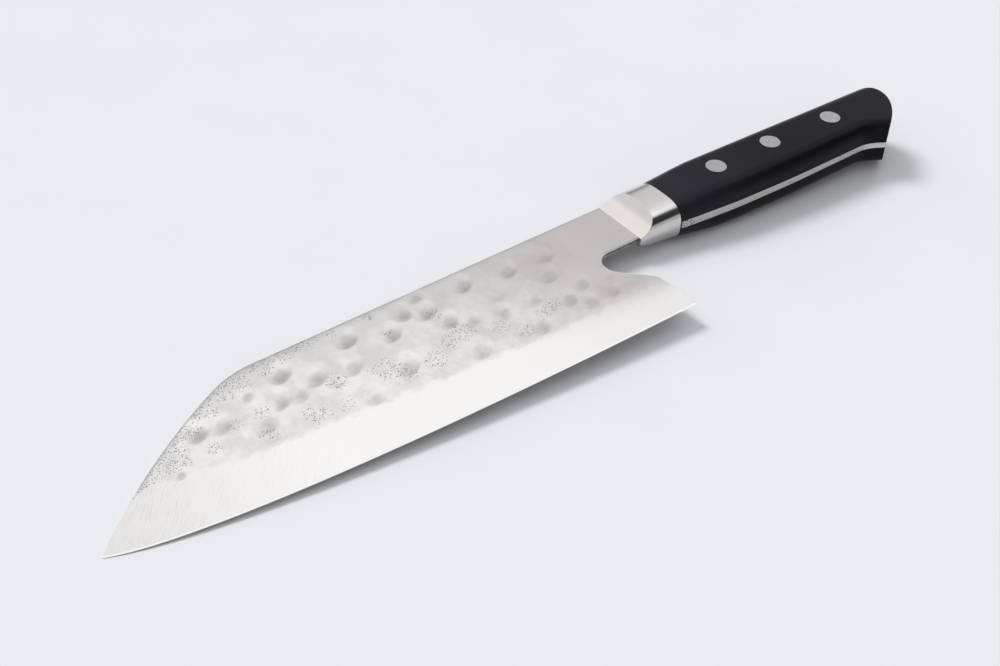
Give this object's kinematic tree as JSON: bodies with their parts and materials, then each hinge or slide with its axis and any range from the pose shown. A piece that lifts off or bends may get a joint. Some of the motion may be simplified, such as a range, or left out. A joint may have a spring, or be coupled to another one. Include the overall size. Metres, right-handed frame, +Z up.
{
  "type": "santoku knife",
  "caption": "Santoku kitchen knife with a hammered, laminated blade, angled tip, polished bolster and black scales riveted to a full tang.",
  "frame": {"origin": "on the surface that the knife lies on, under the middle of its box", "axes": "+X from the tip to the butt, +Y from the edge to the spine, +Z up, out of the left side of the blade"},
  "size_m": [0.2854, 0.0482, 0.0178],
  "materials": {
    "edge_steel": "ground and honed",
    "hammered_steel": "hammered, with forge scale",
    "bolster_steel": "polished",
    "tang_steel": "ground",
    "scale_black": "satin",
    "rivet_steel": "satin"
  },
  "bodies": {
    "root": {"blade_core": "edge_steel", "cladding_left": "hammered_steel", "cladding_right": "hammered_steel", "bolster": "bolster_steel", "tang": "tang_steel", "scale_left": "scale_black", "scale_right": "scale_black", "rivet_post_front": "rivet_steel", "rivet_socket_front": "rivet_steel", "rivet_post_middle": "rivet_steel", "rivet_socket_middle": "rivet_steel", "rivet_post_rear": "rivet_steel", "rivet_socket_rear": "rivet_steel"}
  },
  "joints": []
}
